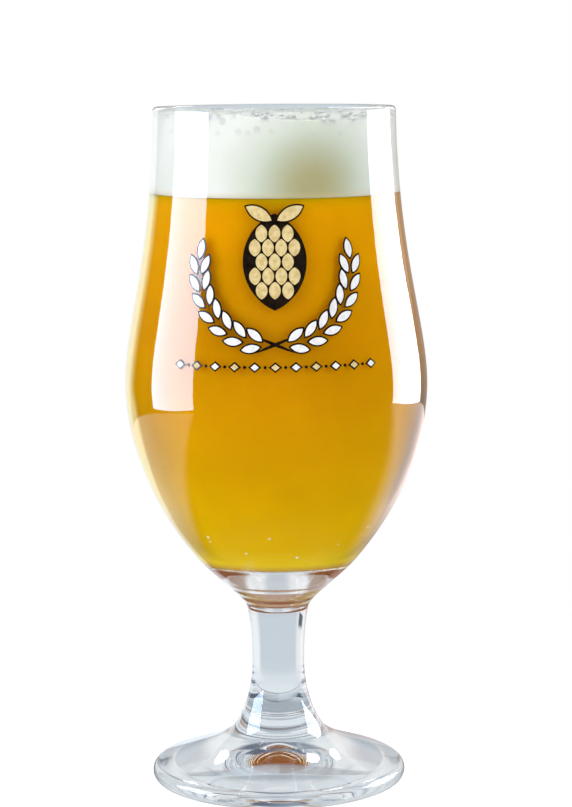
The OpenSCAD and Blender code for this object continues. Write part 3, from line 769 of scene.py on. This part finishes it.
def makeFloor(size):
    half = size["floorSize"] * mm / 2
    under = -size["floorGap"] * mm    # a hair below the foot, so that the two faces never coincide
    mesh = bpy.data.meshes.new("floor")
    mesh.from_pydata([(-half, -half, under), (half, -half, under), (half, half, under), (-half, half, under)],
                     [], [(0, 1, 2, 3)])
    floor = bpy.data.objects.new("floor", mesh)
    scene.collection.objects.link(floor)
    material, tree = newMaterial("white sweep")
    white = linear(size["backTone"])
    path = addNode(tree, "ShaderNodeLightPath").outputs
    where = addNode(tree, "ShaderNodeTexCoord").outputs["Object"]
    away = addNode(tree, "ShaderNodeVectorMath", (where,), operation="LENGTH").outputs["Value"]
    spot = addNode(tree, "ShaderNodeSeparateXYZ", {"Vector": where}).outputs
    course = addNode(tree, "ShaderNodeVectorMath", (where,), operation="NORMALIZE").outputs[0]
    heading = addNode(tree, "ShaderNodeSeparateXYZ", {"Vector": course}).outputs
    # the camera sees a pale sweep that turns to white away from the foot
    camera = path["Is Camera Ray"]
    glow = addNode(tree, "ShaderNodeMath", (camera, size["floorGlow"]), operation="MULTIPLY").outputs[0]
    skin = addNode(tree, "ShaderNodeBsdfPrincipled", {
        "Base Color": linear(size["floorTone"]), "Roughness": 0.7, "Specular IOR Level": 0.1,
        "Emission Color": white, "Emission Strength": glow}).outputs["BSDF"]
    far = addNode(tree, "ShaderNodeMapRange", (away, *metres(size["sweep"])),
                  interpolation_type="SMOOTHSTEP").outputs["Result"]
    fade = addNode(tree, "ShaderNodeMath", (camera, far), operation="MULTIPLY").outputs[0]
    bright = addNode(tree, "ShaderNodeEmission", {"Color": white, "Strength": 1.0}).outputs["Emission"]
    direct = addNode(tree, "ShaderNodeMixShader", (fade, skin, bright)).outputs[0]
    # through the glass the table is a grey wedge behind, white to the sides, with a flag far to the left
    # and a painted shadow under the foot; straight below, outside the stem, it is painted dark
    apart = addNode(tree, "ShaderNodeMath", (heading["X"],), operation="ABSOLUTE").outputs[0]
    rear = blend(tree, apart, *size["wedge"], linear(size["tableBack"]), white)
    fromFlag = addNode(tree, "ShaderNodeMath", (heading["X"], size["flagAt"]),
                       operation="SUBTRACT").outputs[0]
    offFlag = addNode(tree, "ShaderNodeMath", (fromFlag,), operation="ABSOLUTE").outputs[0]
    flagged = blend(tree, offFlag, *size["flagWide"], linear(size["flagTone"]), rear)
    distant = blend(tree, away, *metres(size["flagStart"]), rear, flagged)
    table = blend(tree, spot["Y"], *metres(size["tableTurn"]), linear(size["tableFront"]), distant)
    core = addNode(tree, "ShaderNodeVectorMath", (where, (0, size["spotBack"] * mm, 0)),
                   operation="DISTANCE").outputs["Value"]
    shade = blend(tree, core, *metres(size["spotWide"]), linear(size["tableSpot"]), linear(size["tableNear"]))
    seen = blend(tree, away, *metres(size["nearWide"]), shade, table)
    steep = addNode(tree, "ShaderNodeLayerWeight", {"Blend": 0.5}).outputs["Facing"]
    over = blend(tree, steep, *size["underFacing"], linear(size["underTone"]), seen)
    seen = blend(tree, away, *metres(size["underStart"]), seen, over)
    through = addNode(tree, "ShaderNodeEmission", {"Color": seen, "Strength": 1.0}).outputs["Emission"]
    both = addNode(tree, "ShaderNodeMixShader", (path["Is Transmission Ray"], direct, through)).outputs[0]
    # the glass mirrors the table only beside and behind it, in painted pools of softbox light
    onRight = addNode(tree, "ShaderNodeMath", (spot["X"], 0.0), operation="GREATER_THAN").outputs[0]
    lean = addNode(tree, "ShaderNodeMath", (spot["X"], -size["leftLean"], spot["Y"]),
                   operation="MULTIPLY_ADD").outputs[0]
    left, right = [addNode(tree, "ShaderNodeMapRange", (
        value, *metres(size[side + "Start"]), 0.0, size[side + "Glow"]),
        interpolation_type="SMOOTHSTEP").outputs["Result"]
        for value, side in ((lean, "left"), (spot["Y"], "right"))]
    lit = addNode(tree, "ShaderNodeMix", {0: onRight, 2: left, 3: right}).outputs[0]
    wide = addNode(tree, "ShaderNodeMath", (spot["X"],), operation="ABSOLUTE").outputs[0]
    beside = addNode(tree, "ShaderNodeMapRange", (wide, *metres(size["sideStart"]))).outputs["Result"]
    shrink = addNode(tree, "ShaderNodeMath", (onRight, -size["rightReach"], 1.0),
                     operation="MULTIPLY_ADD").outputs[0]
    reach = addNode(tree, "ShaderNodeMath", (away, shrink), operation="MULTIPLY").outputs[0]
    near = addNode(tree, "ShaderNodeMapRange", (reach, *metres(size["sideEnd"]), 1.0, 0.0)).outputs["Result"]
    zone = addNode(tree, "ShaderNodeMath", (lit, beside), operation="MULTIPLY").outputs[0]
    patch = addNode(tree, "ShaderNodeMath", (zone, near), operation="MULTIPLY").outputs[0]
    leftBack, rightBack = size["backGlow"]
    most = addNode(tree, "ShaderNodeMix", {0: onRight, 2: leftBack, 3: rightBack}).outputs[0]
    rearward = addNode(tree, "ShaderNodeMath", (onRight, size["rightEarly"], heading["Y"]),
                       operation="MULTIPLY_ADD").outputs[0]
    back = addNode(tree, "ShaderNodeMapRange", (rearward, *size["backStart"], 0.0, most)).outputs["Result"]
    pool = addNode(tree, "ShaderNodeMapRange", (away, *metres(size["poolWide"]), size["poolGlow"], 0.0),
                   interpolation_type="SMOOTHSTEP").outputs["Result"]
    sides = addNode(tree, "ShaderNodeMath", (patch, back), operation="MAXIMUM").outputs[0]
    level = addNode(tree, "ShaderNodeMath", (sides, pool), operation="MAXIMUM").outputs[0]
    tone = addNode(tree, "ShaderNodeMix", {
        0: onRight, 6: linear(size["sideLeft"]), 7: linear(size["sideRight"])}, data_type="RGBA").outputs[2]
    mirrored = addNode(tree, "ShaderNodeEmission", {"Color": tone, "Strength": level}).outputs["Emission"]
    shown = addNode(tree, "ShaderNodeMixShader", (mirrorRay(tree, path), both, mirrored)).outputs[0]
    addNode(tree, "ShaderNodeOutputMaterial", {"Surface": shown})
    mesh.materials.append(material)


def makeWorld(size):
    world = bpy.data.worlds.new("studio")
    scene.world = world
    world.use_nodes = True
    tree = world.node_tree
    tree.nodes.clear()
    tones = {name: linear(value) for name, value in size.items() if isinstance(value, str)}
    toward = addNode(tree, "ShaderNodeTexCoord").outputs["Generated"]
    heading = addNode(tree, "ShaderNodeSeparateXYZ", {"Vector": toward}).outputs
    apart = addNode(tree, "ShaderNodeMath", (heading["X"],), operation="ABSOLUTE").outputs[0]
    path = addNode(tree, "ShaderNodeLightPath").outputs
    # seen through the glass: a grey wedge behind, white beside it, elsewhere the dark sides and ceiling
    rear = blend(tree, apart, *size["skyWedge"], tones["skyBack"], tones["backTone"])
    rear = blend(tree, apart, *size["skySideStart"], rear, tones["skySide"])
    rear = blend(tree, apart, *size["skySideEnd"], rear, tones["backTone"])
    front = blend(tree, apart, *size["frontWide"], tones["frontTone"], tones["frontSide"])
    front = blend(tree, heading["X"], *size["frontLeft"], tones["frontTone"], front)
    room = blend(tree, heading["Y"], *size["roomTurn"], front, rear)
    ceiling = blend(tree, heading["X"], *size["ceilingTurn"], tones["ceilingLeft"], tones["ceilingRight"])
    above = blend(tree, heading["Z"], *size["ceilingTop"], ceiling, tones["backTone"])
    color = blend(tree, heading["Z"], *size["ceilingStart"], room, above)
    # what lights the matt pieces, what the glass mirrors, and the white that the camera sees
    fill = blend(tree, heading["Y"], *size["roomTurn"], tones["fillFront"], tones["fillBack"])
    back = blend(tree, heading["X"], *size["mirrorTurn"], tones["mirrorLeft"], tones["mirrorRight"])
    back = blend(tree, apart, *size["middleWide"], tones["mirrorMiddle"], back)
    onRight = addNode(tree, "ShaderNodeMath", (heading["X"], 0.0), operation="GREATER_THAN").outputs[0]
    rearward = addNode(tree, "ShaderNodeMath", (onRight, size["rightEarly"], heading["Y"]),
                       operation="MULTIPLY_ADD").outputs[0]
    mirror = blend(tree, rearward, *size["backStart"], tones["mirrorFront"], back)
    for ray, shown in ((path["Is Diffuse Ray"], fill), (mirrorRay(tree, path), mirror),
                       (path["Is Camera Ray"], tones["backTone"])):
        color = addNode(tree, "ShaderNodeMix", {0: ray, 6: color, 7: shown}, data_type="RGBA").outputs[2]
    light = addNode(tree, "ShaderNodeBackground", {"Color": color, "Strength": 1.0})
    addNode(tree, "ShaderNodeOutputWorld", {"Surface": light.outputs["Background"]})


def makeLamp(name, size, shines):
    # a softbox shows in the glass, a panel only lights the matt surfaces
    turn = math.radians(size["azimuth"])
    place = Vector((math.sin(turn), -math.cos(turn), 0)) * size["away"]
    place.z = size["low"] + size["tall"] / 2
    data = bpy.data.lights.new(name, "AREA")
    data.shape = "ELLIPSE" if name.endswith("Spark") else "RECTANGLE"
    data.size = size["wide"] * mm
    data.size_y = size["tall"] * mm
    data.energy = size["level"] * math.pi * data.size * data.size_y
    data.color = linear(size["tone"])[:3]
    lamp = bpy.data.objects.new(name, data)
    scene.collection.objects.link(lamp)
    lamp.location = place * mm
    facing = Vector((-place.x, -place.y, 0)) if size["away"] else Vector((0, 0, -1))
    lamp.rotation_euler = facing.to_track_quat("-Z", "Y").to_euler()
    lamp.visible_camera = False
    lamp.visible_diffuse = not shines
    lamp.visible_glossy = shines
    lamp.visible_transmission = False


makeFloor(studio)
makeWorld(studio)
for lamps, shines in ((softboxes, True), (panels, False)):
    for name, size in lamps.items():
        makeLamp(name, size, shines)
scene.cycles.caustics_refractive = False
scene.cycles.caustics_reflective = False
for limit in ("max_bounces", "glossy_bounces", "transmission_bounces", "transparent_max_bounces"):
    setattr(scene.cycles, limit, lightTurns)
scene.view_settings.view_transform = "Standard"
print("studio done")
